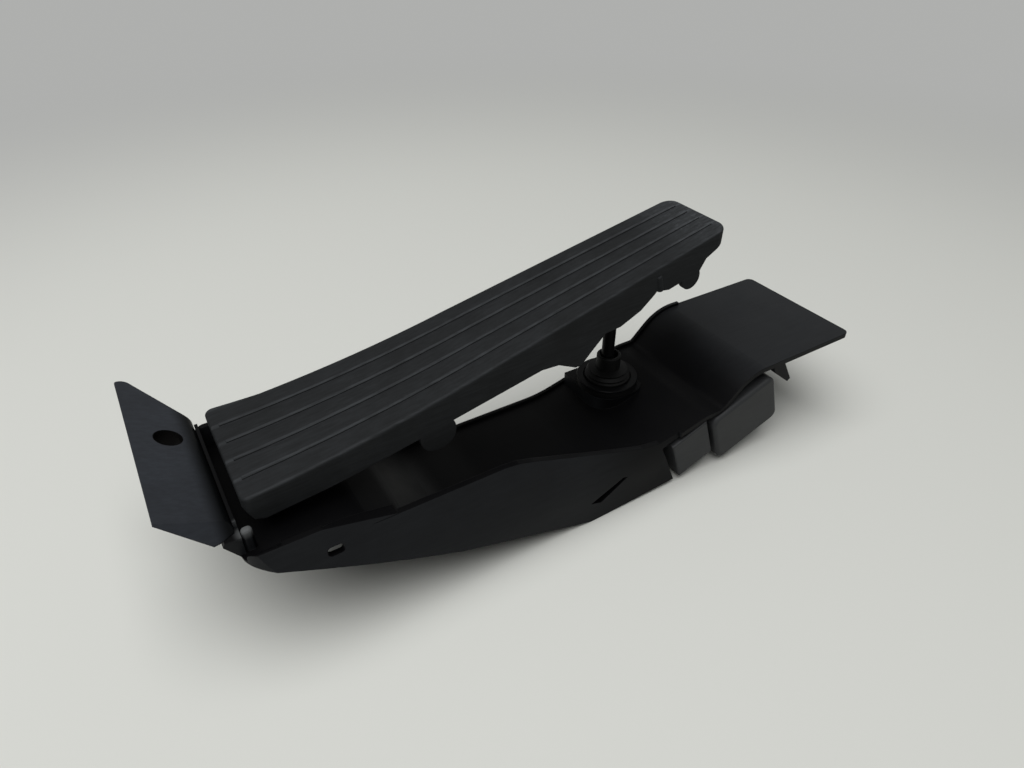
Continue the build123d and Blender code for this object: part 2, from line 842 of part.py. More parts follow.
# Lower edge of the skirts, from toe to heel, without the round lobes
skirt_line = [
    (pad_toe_x, pad_toe_z - 5.0),
    (41.2, 97.0),
    (32.0, 92.2),
    (rear_lobe_x + rear_lobe_r - 0.6, rear_lobe_z + 2.0),
    (17.0, 84.5),
    (12.6, 83.5),
    (5.8, 84.7),
    (4.0, 83.0),
    (-2.0, 78.3),
    (-12.0, 74.2),
    (-19.7, 73.7),
    (-26.7, 67.2),
    (-31.0, 62.8),
    (-34.0, 62.8),
    (-42.5, 67.2),
    (-50.5, 67.9),
    (-88.9, 61.4),
    (-104.5, 58.6),
    (-121.0, 56.0),
    (-138.0, 53.8),
    (-160.0, 52.2),
    (-163.5, 53.6),
    (pad_heel_x, 58.5),
]
with BuildPart() as pad_plan:
    with BuildSketch(Plane.XY.offset(hinge_z - 30)):
        with BuildLine():
            Polyline(
                (pad_heel_x, -pad_heel_half),
                (pad_toe_x, -pad_toe_half),
                (pad_toe_x, pad_toe_half),
                (pad_heel_x + pad_flare_length, pad_half(pad_heel_x + pad_flare_length)),
                (pad_heel_x, pad_heel_half + pad_flare),
                close=True,
            )
        make_face()
        fillet(vertices().sort_by(Axis.X)[-2:], pad_toe_corner_r)
        fillet(vertices().sort_by(Axis.X)[:2], pad_heel_corner_r)
    extrude(amount=big)
with BuildPart() as tread:
    with BuildSketch(side_plane(pad_heel_half)):
        with BuildLine():
            pad_top(tread_height)
            Line((pad_toe_x, pad_toe_z + tread_height), (pad_toe_x, pad_toe_z - 1))
            Line((pad_toe_x, pad_toe_z - 1), (pad_bend_x, pad_bend_z - 1))
            Line((pad_bend_x, pad_bend_z - 1), (pad_bow_x, pad_bow_z - 1))
            Line((pad_bow_x, pad_bow_z - 1), (pad_heel_x, pad_heel_z - 1))
            Line((pad_heel_x, pad_heel_z - 1), (pad_heel_x, pad_heel_z + tread_height))
        make_face()
    extrude(amount=2 * pad_heel_half)
    with BuildSketch(Plane.XY.offset(hinge_z - 30)):
        for i in range(tread_count):
            share = (2 * i + 2) / (tread_count + 1) - 1
            heel_mid = share * pad_heel_half
            toe_mid = share * pad_toe_half
            with BuildLine():
                Polyline(
                    (pad_heel_x + 3, heel_mid - tread_width / 2),
                    (pad_toe_x - 4, toe_mid - tread_width / 2),
                    (pad_toe_x - 4, toe_mid + tread_width / 2),
                    (pad_heel_x + 3, heel_mid + tread_width / 2),
                    close=True,
                )
            make_face()
    extrude(amount=big, mode=Mode.INTERSECT)
with BuildPart() as pad_hollow:
    with BuildSketch(side_plane(pad_heel_half)):
        with BuildLine():
            pad_top(-pad_skin)
            Polyline(
                (pad_toe_x, pad_toe_z - pad_skin),
                (pad_toe_x, hinge_z - 25),
                (pad_heel_x, hinge_z - 25),
                (pad_heel_x, pad_heel_z - pad_skin),
            )
        make_face()
    extrude(amount=2 * pad_heel_half)
    with BuildSketch(Plane.XY.offset(hinge_z - 30)):
        with BuildLine():
            Polyline(
                (pad_heel_x + pad_skirt, pad_skirt - pad_heel_half),
                (pad_toe_x - pad_skirt, pad_skirt - pad_toe_half),
                (pad_toe_x - pad_skirt, pad_toe_half - pad_skirt),
                (pad_heel_x + pad_skirt, pad_heel_half - pad_skirt),
                close=True,
            )
        make_face()
    extrude(amount=big, mode=Mode.INTERSECT)
barrel_half = pin_half + 0.6
barrel = cross_bar(hinge_x, hinge_z, barrel_r, barrel_half, -barrel_half)
lug_gap_outline = [
    (hinge_x - lug_r - 2, hinge_z - lug_r - 3),
    (hinge_x - lug_r - 2, pad_heel_z - pad_skin - 0.4),
    (hinge_x + lug_r + 7, pad_heel_z - pad_skin + 1.0),
    (hinge_x + lug_r + 7, hinge_z - lug_r - 3),
]
barrel_web = side_slab(
    [
        (hinge_x - 4, hinge_z),
        (hinge_x - 6, pad_heel_z - 1),
        (hinge_x + 8, pad_heel_z),
        (hinge_x + 4, hinge_z),
    ],
    pad_heel_half - pad_skirt,
    pad_skirt - pad_heel_half,
)
lug_gaps = [
    side_slab(lug_gap_outline, lug_outer_y + play, lug_inner_y - play),
    side_slab(lug_gap_outline, play - lug_inner_y, -lug_outer_y - play),
]
pad_ribs = []
rib_places = [pad_heel_x + pad_rib_pitch * i for i in range(1, 5)] + [pad_toe_rib_x]
for x in rib_places:
    half = pad_half(x) - pad_skirt / 2
    low, high = pad_height(x) - pad_rib_depth, pad_height(x) - pad_skin / 2
    outline = [(-half, low), (half, low), (half, high), (-half, high)]
    pad_ribs.append(cross_slab(outline, x, x + rib_wall))
bush_outer_r = pin_r + running_gap + bush_wall
bead_way = Vector(bead_top_x - bead_x, 0, bead_top_z - bead_z)
with BuildPart() as beads:
    for side in (-1, 1):
        foot = Vector(bead_x, side * (pad_half(bead_x) - bead_r / 3), bead_z)
        with BuildSketch(Plane(foot, z_dir=bead_way)):
            Circle(bead_r)
        extrude(amount=bead_way.length)
    fillet(edges().group_by(Axis.Z)[-1], bead_r * 0.6)
with BuildPart() as pedal_pad:
    with BuildSketch(side_plane(pad_heel_half + pad_flare)):
        with BuildLine():
            pad_top(0)
            Polyline((pad_toe_x, pad_toe_z), *skirt_line, (pad_heel_x, pad_heel_z))
        make_face()
        with Locations((front_lobe_x, front_lobe_z)):
            Circle(front_lobe_r)
        with Locations((rear_lobe_x, rear_lobe_z)):
            Circle(rear_lobe_r)
    extrude(amount=2 * pad_heel_half + pad_flare)
    add(pad_plan.part, mode=Mode.INTERSECT)
    top_faces = faces().filter_by(lambda face: face.normal_at().Z > 0.9)
    long_middle = edges().filter_by(lambda edge: abs((edge @ 0.5).Y) < 10)
    fillet(top_faces.edges() - long_middle, pad_edge_r)
    add(pad_hollow.part, mode=Mode.SUBTRACT)
    add(tread.part)
    add(barrel)
    add(barrel_web)
    add(beads.part)
    add(lug_gaps, mode=Mode.SUBTRACT)
    add(pad_ribs)
    with Locations((0, 0, socket_top_z)):
        Cylinder(socket_r + 1, 5, align=(Align.CENTER, Align.CENTER, Align.MIN))
    with BuildSketch(side_plane(barrel_half)):
        with Locations((hinge_x, hinge_z)):
            Circle(pin_r + 0.6)
    extrude(amount=2 * barrel_half, mode=Mode.SUBTRACT)
    for end in (barrel_half, bush_length - barrel_half):
        with BuildSketch(side_plane(end)):
            with Locations((hinge_x, hinge_z)):
                Circle(bush_outer_r + seat_gap)
        extrude(amount=bush_length, mode=Mode.SUBTRACT)
pedal_pad.part.label = "pedal_pad"
export_step(pedal_pad.part, "parts/pedal_pad.step")

# Plain bushes in the ends of the pad's barrel
with BuildPart() as pad_bushes:
    for end in (barrel_half, bush_length - barrel_half):
        with BuildSketch(side_plane(end)):
            with Locations((hinge_x, hinge_z)):
                Circle(bush_outer_r)
                Circle(pin_r + running_gap, mode=Mode.SUBTRACT)
        extrude(amount=bush_length)
pad_bushes.part.label = "pad_bushes"
export_step(pad_bushes.part, "parts/pad_bushes.step")

# Ball socket under the pad
with BuildPart() as rod_socket:
    with Locations((0, 0, socket_low_z)):
        Cylinder(socket_r, socket_top_z - socket_low_z, align=(Align.CENTER, Align.CENTER, Align.MIN))
    with Locations((0, 0, ball_z)):
        Sphere(ball_r + 2 * running_gap, mode=Mode.SUBTRACT)
    with Locations((0, 0, socket_low_z)):
        Cone(
            neck_r + 1.4,
            neck_r + 0.6,
            1.4,
            align=(Align.CENTER, Align.CENTER, Align.MIN),
            mode=Mode.SUBTRACT,
        )
rod_socket.part.label = "rod_socket"
export_step(rod_socket.part, "parts/rod_socket.step")

# Push rod: ball, neck, shank, slimmer foot and the cross pin for the fork
with BuildPart() as pushrod:
    with BuildSketch(Plane.XZ):
        with BuildLine():
            Polyline(
                (0, pivot_z - 2),
                (rod_foot_r, pivot_z - 2),
                (rod_foot_r, pivot_z + 6.5),
                (rod_r, pivot_z + 8),
                (rod_r, ball_z - 14),
                (neck_r, ball_z - 8),
                (neck_r, ball_z),
                (0, ball_z),
                close=True,
            )
        make_face()
    revolve(axis=Axis.Z)
    with Locations((0, 0, ball_z)):
        Sphere(ball_r)
    with BuildSketch(side_plane(cross_pin_half)):
        with Locations((0, pivot_z)):
            Circle(cross_pin_r)
    extrude(amount=2 * cross_pin_half)
pushrod.part.label = "pushrod"
export_step(pushrod.part, "parts/pushrod.step")

# Rubber boot: flange, two rings, shoulder and collar
boot_axis = Axis((boot_x, 0, 0), (0, 0, 1))
with BuildPart() as rod_boot:
    with BuildSketch(Plane.XZ):
        with BuildLine():
            flange_top = boot_seat_z + boot_flange
            Polyline(
                (boot_x + boot_inner_r, boot_seat_z),
                (boot_x + boot_flange_r, boot_seat_z),
                (boot_x + boot_flange_r, flange_top),
                (boot_x + boot_wall_r, flange_top),
                (boot_x + boot_wall_r, flange_top + 1.6),
                (boot_x + boot_wall_r - 0.9, flange_top + 2.2),
                (boot_x + boot_wall_r - 0.3, flange_top + 3.2),
                (boot_x + boot_wall_r - 1.6, boot_shoulder_z - 1.4),
                (boot_x + boot_wall_r - 1.4, boot_shoulder_z - 0.6),
                (boot_x + collar_r, boot_shoulder_z),
                (boot_x + collar_r, boot_top_z - 0.6),
                (boot_x + collar_r - 0.6, boot_top_z),
                (boot_x + collar_bore_r, boot_top_z),
                (boot_x + collar_bore_r, boot_shoulder_z - 0.6),
                (boot_x + boot_inner_r, boot_shoulder_z - 2.6),
                close=True,
            )
        make_face()
    revolve(axis=boot_axis)
rod_boot.part.label = "rod_boot"
export_step(rod_boot.part, "parts/rod_boot.step")

# Ring that holds the boot's flange
with BuildPart() as boot_ring:
    with BuildSketch(Plane.XY.offset(boot_seat_z + boot_flange)):
        with Locations((boot_x, 0)):
            Circle(boot_flange_r)
            Circle(ring_inner_r, mode=Mode.SUBTRACT)
    extrude(amount=ring_height)
    chamfer(edges().sort_by(Axis.Z)[-2:], 0.3)
boot_ring.part.label = "boot_ring"
export_step(boot_ring.part, "parts/boot_ring.step")


# Plane of the tilted sensor unit, seen from the near side
def sensor_plane(x, z, y):
    turn = radians(sensor_tilt)
    return Plane(origin=(x, y, z), x_dir=(cos(turn), 0, sin(turn)), z_dir=(0, -1, 0))


def on_sensor(along, up):
    turn = radians(sensor_tilt)
    return (
        sensor_x + along * cos(turn) - up * sin(turn),
        sensor_z + along * sin(turn) + up * cos(turn),
    )


inner_end_y = chamber_y - wall
lower_left = (Align.MIN, Align.MIN)
sensor_depth = inner_end_y - sensor_near_y

# Sensor housing: tilted box with a pocket behind its cover and the connector's mouth in its toe end
with BuildPart() as sensor_housing:
    with BuildSketch(sensor_plane(sensor_x, sensor_z, inner_end_y)):
        Rectangle(sensor_length, sensor_height, align=lower_left)
        fillet(vertices(), sensor_corner_r)
    extrude(amount=sensor_depth)
    with BuildSketch(sensor_plane(sensor_x, sensor_z, sensor_near_y + pocket_depth)):
        with Locations((pocket_margin, pocket_margin)):
            Rectangle(
                sensor_length - mouth_depth - pocket_margin - case_wall,
                sensor_height - 2 * pocket_margin,
                align=lower_left,
            )
    extrude(amount=pocket_depth, mode=Mode.SUBTRACT)
    with BuildSketch(side_plane(sensor_near_y + pocket_depth)):
        with Locations((lever_x, lever_z)):
            Circle(carrier_r + play)
    extrude(amount=pocket_depth, mode=Mode.SUBTRACT)
    with BuildSketch(sensor_plane(sensor_x, sensor_z, mouth_far_y)):
        with Locations((sensor_length - mouth_depth, (sensor_height - mouth_height) / 2)):
            Rectangle(mouth_depth + 1, mouth_height, align=lower_left)
    extrude(amount=mouth_far_y - mouth_near_y, mode=Mode.SUBTRACT)
    with BuildSketch(side_plane(inner_end_y)):
        with Locations((lever_x, lever_z)):
            Circle(shaft_bush_r + seat_gap)
    extrude(amount=sensor_depth, mode=Mode.SUBTRACT)
sensor_housing.part.label = "sensor_housing"
export_step(sensor_housing.part, "parts/sensor_housing.step")

# Sensor cover, with its outer edge rounded
with BuildPart() as sensor_cover:
    with BuildSketch(sensor_plane(sensor_x, sensor_z, sensor_near_y)):
        Rectangle(sensor_length, sensor_height, align=lower_left)
        fillet(vertices(), sensor_corner_r)
    extrude(amount=cover_thick)
    fillet(faces().sort_by(Axis.Y)[0].edges(), cover_thick * 0.6)
sensor_cover.part.label = "sensor_cover"
export_step(sensor_cover.part, "parts/sensor_cover.step")

# Board on the inside of the cover
board_length = sensor_length - mouth_depth - pocket_margin - case_wall - 2
board_height = sensor_height - 2 * pocket_margin - 2
with BuildPart() as sensor_board:
    with BuildSketch(sensor_plane(sensor_x, sensor_z, sensor_near_y + board_thick)):
        with Locations((pocket_margin + 1, pocket_margin + 1)):
            Rectangle(board_length, board_height, align=lower_left)
    extrude(amount=board_thick)
sensor_board.part.label = "sensor_board"
export_step(sensor_board.part, "parts/sensor_board.step")

# Connector pins, in two rows on the floor of the mouth
pin_x, pin_z = on_sensor(sensor_length - mouth_depth, (sensor_height - mouth_height) / 2 + pin_rise)
mouth_plane = Plane(
    origin=(pin_x, (mouth_near_y + mouth_far_y) / 2, pin_z),
    x_dir=(0, 1, 0),
    z_dir=(cos(radians(sensor_tilt)), 0, sin(radians(sensor_tilt))),
)
with BuildPart() as connector_pins:
    with BuildSketch(mouth_plane):
        with GridLocations(pin_pitch, pin_row_pitch, pin_count, 2):
            Rectangle(pin_thick, pin_thick)
    extrude(amount=pin_reach)
connector_pins.part.label = "connector_pins"
export_step(connector_pins.part, "parts/connector_pins.step")

# Side cap: small tilted box, open towards the chamber wall
with BuildPart() as side_cap:
    with BuildSketch(sensor_plane(cap_x, cap_z, inner_end_y)):
        Rectangle(cap_length, cap_height, align=lower_left)
    extrude(amount=inner_end_y - cap_near_y)
    fillet(faces().sort_by(Axis.Y)[0].edges(), 0.8)
    with BuildSketch(sensor_plane(cap_x, cap_z, inner_end_y)):
        with Locations((case_wall, case_wall)):
            Rectangle(cap_length - 2 * case_wall, cap_height - 2 * case_wall, align=lower_left)
    extrude(amount=inner_end_y - cap_near_y - case_wall, mode=Mode.SUBTRACT)
side_cap.part.label = "side_cap"
export_step(side_cap.part, "parts/side_cap.step")

# Bearing bushes of the lever's shaft, in the chamber wall and in the far boss
far_bush_y = far_y - wall
with BuildPart() as shaft_bushes:
    for far, near in ((far_bush_y, hub_far_y + play), (hub_near_y - play, inner_end_y - 6)):
        with BuildSketch(side_plane(far)):
            with Locations((lever_x, lever_z)):
                Circle(shaft_bush_r)
                Circle(shaft_r + running_gap, mode=Mode.SUBTRACT)
        extrude(amount=far - near)
shaft_bushes.part.label = "shaft_bushes"
export_step(shaft_bushes.part, "parts/shaft_bushes.step")

# Sensor lever: hub, two cranked fork arms with an open slot, and the spring pad between them
arm_outline = [
    (-2.2, 33.0),
    (4.5, 32.0),
    (12.0, 26.8),
    (34.0, 24.8),
    (lever_x, lever_z + hub_r),
    (lever_x, lever_z - hub_r),
    (36.0, 13.6),
    (24.0, spring_seat_z),
    (12.0, 20.3),
    (4.0, 26.3),
    (-2.0, 27.4),
]
arms = [
    side_slab(arm_outline, fork_outer, fork_inner),
    side_slab(arm_outline, -fork_inner, -fork_outer),
]
spring_pad = side_slab(
    [
        (spring_x - 7, spring_seat_z),
        (spring_x - 7, spring_seat_z + 3),
        (lever_x - hub_r / 2, spring_seat_z + 4),
        (lever_x - hub_r / 2, spring_seat_z),
    ],
    fork_outer,
    -fork_outer,
)
hub = cross_bar(lever_x, lever_z, hub_r, hub_far_y, hub_near_y)
slot_angle = degrees(atan2(lever_z - pivot_z, lever_x))
with BuildPart() as sensor_lever:
    add(arms)
    add(spring_pad)
    add(hub)
    with BuildSketch(side_plane(fork_outer + 1)):
        with Locations((-3.0, pivot_z + 3.0 * tan(radians(-slot_angle)))):
            SlotOverall(14.0, 2 * fork_slot, rotation=slot_angle)
    extrude(amount=2 * fork_outer + 2, mode=Mode.SUBTRACT)
    with BuildSketch(side_plane(hub_far_y + 1)):
        with Locations((lever_x, lever_z)):
            Circle(shaft_r + seat_gap)
    extrude(amount=hub_far_y - hub_near_y + 2, mode=Mode.SUBTRACT)
    with BuildSketch(side_plane(fork_outer + 1)):
        with Locations((spring_x, 0)):
            Rectangle(12, 2 * spring_seat_z)
    extrude(amount=2 * fork_outer + 2, mode=Mode.SUBTRACT)
sensor_lever.part.label = "sensor_lever"
export_step(sensor_lever.part, "parts/sensor_lever.step")

# Steel shaft of the lever
carrier_near_y = sensor_near_y + 3.3
shaft_near_y = carrier_near_y + 2.0
with BuildPart() as lever_shaft:
    with BuildSketch(side_plane(far_bush_y - play)):
        with Locations((lever_x, lever_z)):
            Circle(shaft_r)
    extrude(amount=far_bush_y - play - shaft_near_y)
lever_shaft.part.label = "lever_shaft"
export_step(lever_shaft.part, "parts/lever_shaft.step")

# Magnet carrier and magnet on the shaft's end
carrier_far_y = sensor_near_y + pocket_depth - play
with BuildPart() as magnet_carrier:
    with BuildSketch(side_plane(carrier_far_y)):
        with Locations((lever_x, lever_z)):
            Circle(carrier_r)
    extrude(amount=carrier_far_y - carrier_near_y)
    with BuildSketch(side_plane(carrier_far_y)):
        with Locations((lever_x, lever_z)):
            Circle(shaft_r + seat_gap)
    extrude(amount=carrier_far_y - shaft_near_y + seat_gap, mode=Mode.SUBTRACT)
    with BuildSketch(side_plane(carrier_near_y + 1)):
        with Locations((lever_x, lever_z)):
            Circle(magnet_r + seat_gap)
    extrude(amount=1, mode=Mode.SUBTRACT)
magnet_carrier.part.label = "magnet_carrier"
export_step(magnet_carrier.part, "parts/magnet_carrier.step")

with BuildPart() as magnet:
    with BuildSketch(side_plane(carrier_near_y + 1)):
        with Locations((lever_x, lever_z)):
            Circle(magnet_r)
    extrude(amount=1.6)
magnet.part.label = "magnet"
export_step(magnet.part, "parts/magnet.step")

# Plate under the lever chamber
plate_low = chamber_y + play / 2
plate_high = far_y - wall - play / 2
plate_heel = chamber_x + play / 2
plate_toe = tail_x - wall - play
with BuildPart() as bottom_cover:
    with BuildSketch(Plane.XY):
        with Locations(((plate_heel + plate_toe) / 2, (plate_low + plate_high) / 2)):
            Rectangle(plate_toe - plate_heel, plate_high - plate_low)
    extrude(amount=cover_plate)
    with Locations(*[(x, y, 0) for x, y in screw_places]):
        Cylinder(
            screw_r + seat_gap,
            2 * cover_plate,
            align=(Align.CENTER, Align.CENTER, Align.MIN),
            mode=Mode.SUBTRACT,
        )
        Cylinder(
            screw_head_r + 2 * seat_gap,
            screw_head + 0.1,
            align=(Align.CENTER, Align.CENTER, Align.MIN),
            mode=Mode.SUBTRACT,
        )
bottom_cover.part.label = "bottom_cover"
export_step(bottom_cover.part, "parts/bottom_cover.step")

# Screws of the bottom plate, heads sunk flush
with BuildPart() as cover_screws:
    with Locations(*[(x, y, 0.1) for x, y in screw_places]):
        Cylinder(screw_head_r, screw_head, align=(Align.CENTER, Align.CENTER, Align.MIN))
        Cylinder(screw_r, screw_length, align=(Align.CENTER, Align.CENTER, Align.MIN))
cover_screws.part.label = "cover_screws"
export_step(cover_screws.part, "parts/cover_screws.step")

# Doubled return springs under the lever, their wire drawn with eight sides
spring_room = spring_seat_z - cover_plate
for name, coil_r, wire_r in (
    ("return_spring_outer", outer_coil_r, outer_wire_r),
    ("return_spring_inner", inner_coil_r, inner_wire_r),
):
    rise = spring_room - 2 * wire_r
    with BuildPart() as spring:
        with BuildLine() as coil:
            Helix(
                pitch=rise / spring_turns,
                height=rise,
                radius=coil_r,
                center=(spring_x, 0, cover_plate + wire_r),
            )
        with BuildSketch(Plane(coil.line @ 0, z_dir=coil.line % 0)):
            RegularPolygon(wire_r, 8)
        sweep(path=coil.line, is_frenet=True)
    spring.part.label = name
    export_step(spring.part, f"parts/{name}.step")

# Rubber buffer that stops the lever
with BuildPart() as lever_buffer:
    with Locations((buffer_x, 0, cover_plate)):
        Box(
            buffer_length,
            2 * buffer_half,
            buffer_height,
            align=(Align.CENTER, Align.CENTER, Align.MIN),
        )
    fillet(edges().filter_by(Axis.Z), 1.5)
lever_buffer.part.label = "lever_buffer"
export_step(lever_buffer.part, "parts/lever_buffer.step")
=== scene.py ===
import json
import math
import bpy
import numpy as np
from mathutils import Matrix, Vector


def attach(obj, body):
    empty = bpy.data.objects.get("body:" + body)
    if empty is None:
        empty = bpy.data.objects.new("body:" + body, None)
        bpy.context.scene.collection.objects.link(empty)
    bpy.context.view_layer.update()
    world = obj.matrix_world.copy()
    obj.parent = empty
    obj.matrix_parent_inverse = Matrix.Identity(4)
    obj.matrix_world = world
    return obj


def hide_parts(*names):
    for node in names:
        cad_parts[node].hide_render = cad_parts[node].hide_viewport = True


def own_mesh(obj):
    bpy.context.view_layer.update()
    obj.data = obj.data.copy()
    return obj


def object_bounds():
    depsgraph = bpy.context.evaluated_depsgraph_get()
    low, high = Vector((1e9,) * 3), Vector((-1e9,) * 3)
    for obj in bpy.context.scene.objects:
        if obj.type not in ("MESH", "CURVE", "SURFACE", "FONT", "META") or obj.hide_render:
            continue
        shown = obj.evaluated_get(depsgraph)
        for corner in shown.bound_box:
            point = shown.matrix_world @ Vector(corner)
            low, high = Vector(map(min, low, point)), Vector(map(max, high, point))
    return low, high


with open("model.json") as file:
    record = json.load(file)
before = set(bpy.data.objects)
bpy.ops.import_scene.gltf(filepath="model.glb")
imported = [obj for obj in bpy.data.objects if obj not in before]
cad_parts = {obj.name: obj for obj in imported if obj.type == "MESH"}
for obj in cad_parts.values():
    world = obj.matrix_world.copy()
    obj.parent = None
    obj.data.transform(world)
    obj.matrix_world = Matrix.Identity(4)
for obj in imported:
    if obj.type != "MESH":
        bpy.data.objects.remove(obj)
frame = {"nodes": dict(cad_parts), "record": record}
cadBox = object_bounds()
nodes = frame["nodes"]
record = frame["record"]
print("frame:", len(nodes), "nodes")


# sRGB hex to linear: c / 12.92 below 0.04045, else ((c + 0.055) / 1.055) to the power 2.4
def hexColour(code):
    values = [int(code[i:i + 2], 16) / 255 for i in (1, 3, 5)]
    return tuple(v / 12.92 if v <= 0.04045 else ((v + 0.055) / 1.055) ** 2.4 for v in values) + (1.0,)


# texture scale for a pattern whose feature is so many millimetres across
def perMm(size):
    return 1000.0 / size


# how a look's plain numbers are called on the shader
shaderSockets = {"rough": "Roughness", "metal": "Metallic", "ior": "IOR", "specular": "Specular IOR Level"}


# a material from its look; what the look leaves out keeps the shader's own value
def newMaterial(name, look):
    mat = bpy.data.materials.new(name)
    mat.use_nodes = True
    shader = mat.node_tree.nodes["Principled BSDF"]
    shader.inputs["Base Color"].default_value = hexColour(look["colour"])
    for key, socket in shaderSockets.items():
        if key in look:
            shader.inputs[socket].default_value = look[key]
    return mat, shader


# one node with its settings; a socket given as a value becomes a link
def addNode(mat, kind, settings):
    node = mat.node_tree.nodes.new(kind)
    for key, value in settings.items():
        if isinstance(key, str) and hasattr(node, key):
            setattr(node, key, value)
        elif isinstance(value, bpy.types.NodeSocket):
            mat.node_tree.links.new(value, node.inputs[key])
        else:
            node.inputs[key].default_value = value
    return node


# an object at the origin, in the scene
def addObject(name, data):
    item = bpy.data.objects.new(name, data)
    bpy.context.scene.collection.objects.link(item)
    return item


# a colour painted over what the plastic has so far, as far as the mask says, from 0 to 1; on a
# colour Mix node 0 is the mask's socket, 6 and 7 are the two colours and 2 is the result
def paintOver(plastic, mask, colour):
    mat = plastic["mat"]
    mixed = addNode(mat, "ShaderNodeMix", {
        "data_type": "RGBA", 0: mask, 6: plastic["tint"], 7: hexColour(colour)})
    mat.node_tree.links.new(mixed.outputs[2], plastic["shader"].inputs["Base Color"])
    plastic["tint"] = mixed.outputs[2]


# Moulded polypropylene of the base: near black, with a spark-eroded grain that scatters the gloss,
# so the eye gets a soft even dark, broken by handling smears and scratches
baseLook = {
    "colour": "#1b1c1e",
    "dustColour": "#2b2d2f",
    "ior": 1.49,
    "specular": 0.06,        # under 0.5, because the grain scatters most of the gloss
    "rough": 0.38,
    "roughWorn": 0.52,
    "smearMm": 26.0,
    "smearFrom": 0.3,        # noise at which the surface is as moulded
    "smearTo": 0.7,          # and at which it is fully worn
    "scratchMm": 1.6,
    "scratchStretch": 0.12,  # scratches run along the pedal
    "dustFrom": 0.14,        # product of the two noises at which dust begins
    "dustTo": 0.44,
    "dustShare": 0.30,
    "grainMm": 0.8,          # drawn coarser than the tool's grain so that it shows
    "grainDepthMm": 0.02,
    "grainStrength": 0.4,
    "edgeMm": 0.45,          # the tool's edges are never quite sharp
}

# Glass-filled nylon of the pad: matt, greyer, scuffed along its length by shoe soles
padLook = dict(baseLook, colour="#1b1c1d", dustColour="#303234", specular=0.08, rough=0.58, roughWorn=0.72,
               smearMm=18.0, scratchMm=1.1, scratchStretch=0.05, dustShare=0.5,
               grainMm=1.0, grainDepthMm=0.05)

# The same polypropylene on the heel plate, painted paler and bluer as a painted sheen, with dust from shoes
# and handling
plateSheenLook = dict(baseLook, colour="#292b2f", dustColour="#3b3f45", dustShare=0.45)

# Glass-filled polyester of the sensor's box and cap: paler than the base, with a little more gloss
sensorLook = dict(baseLook, colour="#2d2e2f", dustColour="#3c3e40", specular=0.15, rough=0.42, roughWorn=0.55,
                  grainMm=0.9)

# Acetal of the rod, the lever and the ring: smooth and dark
rodLook = dict(baseLook, colour="#0d0d0e", dustColour="#161718", rough=0.34, roughWorn=0.44, dustShare=0.2)


# dust = cloudy smears times stretched scratches, and it lifts the colour; the smears alone lift the
# roughness, and a fine noise over softened edges gives the grain
def mouldedPlastic(name, look):
    mat, shader = newMaterial(name, look)
    place = addNode(mat, "ShaderNodeTexCoord", {}).outputs["Object"]
    smear = addNode(mat, "ShaderNodeTexNoise", {
        "Vector": place, "Scale": perMm(look["smearMm"]), "Detail": 5.0, "Roughness": 0.62})
    along = addNode(mat, "ShaderNodeMapping", {"Vector": place, "Scale": (look["scratchStretch"], 1.0, 1.0)})
    scratch = addNode(mat, "ShaderNodeTexNoise", {
        "Vector": along.outputs[0], "Scale": perMm(look["scratchMm"]), "Detail": 4.0, "Roughness": 0.7})
    both = addNode(mat, "ShaderNodeMath", {
        "operation": "MULTIPLY", 0: smear.outputs[0], 1: scratch.outputs[0]})
    dust = addNode(mat, "ShaderNodeMapRange", {
        "Value": both.outputs[0],
        "From Min": look["dustFrom"], "From Max": look["dustTo"], "To Max": look["dustShare"]})
    rough = addNode(mat, "ShaderNodeMapRange", {
        "Value": smear.outputs[0], "From Min": look["smearFrom"], "From Max": look["smearTo"],
        "To Min": look["rough"], "To Max": look["roughWorn"]})
    grain = addNode(mat, "ShaderNodeTexNoise", {
        "Vector": place, "Scale": perMm(look["grainMm"]), "Detail": 2.0})
    edge = addNode(mat, "ShaderNodeBevel", {"samples": 4, "Radius": look["edgeMm"] / 1000})
    bump = addNode(mat, "ShaderNodeBump", {
        "Height": grain.outputs[0], "Strength": look["grainStrength"],
        "Distance": look["grainDepthMm"] / 1000, "Normal": edge.outputs[0]})
    mat.node_tree.links.new(rough.outputs[0], shader.inputs["Roughness"])
    mat.node_tree.links.new(bump.outputs[0], shader.inputs["Normal"])
    plastic = {"mat": mat, "shader": shader, "tint": hexColour(look["colour"]), "scratch": scratch.outputs[0]}
    paintOver(plastic, dust.outputs[0], look["dustColour"])
    return plastic


basePlastic = mouldedPlastic("mouldedPolypropyleneBlack", baseLook)
# the heel plate's plastic, with a painted sheen in its colour
platePlastic = mouldedPlastic("mouldedPolypropyleneDustAndPaintedLight", plateSheenLook)
sensorPlastic = mouldedPlastic("glassFilledPolyesterBlack", sensorLook)
rodPlastic = mouldedPlastic("acetalBlack", rodLook)
padPlastic = mouldedPlastic("glassFilledNylonMatt", padLook)

# Painted shade: what faces up or toeward under the pad, where the pad shades it, is painted
# deep black, and the near wall's toe half is painted darker than its heel half
paintedShadeLook = {
    "colour": "#060607",
    "faceFrom": 0.4,         # upward or toeward part of the normal
    "faceTo": 0.6,
    "coverTo": 0.030,        # metres along the base
    "openFrom": 0.056,
    "wallFrom": -0.5,        # sideways part of the normal, toward the near side
    "wallTo": -0.8,
    "shadeStart": -0.050,     # metres along the near wall
    "wallShadeFull": -0.008,
    "wallShadeShare": 0.85,
}
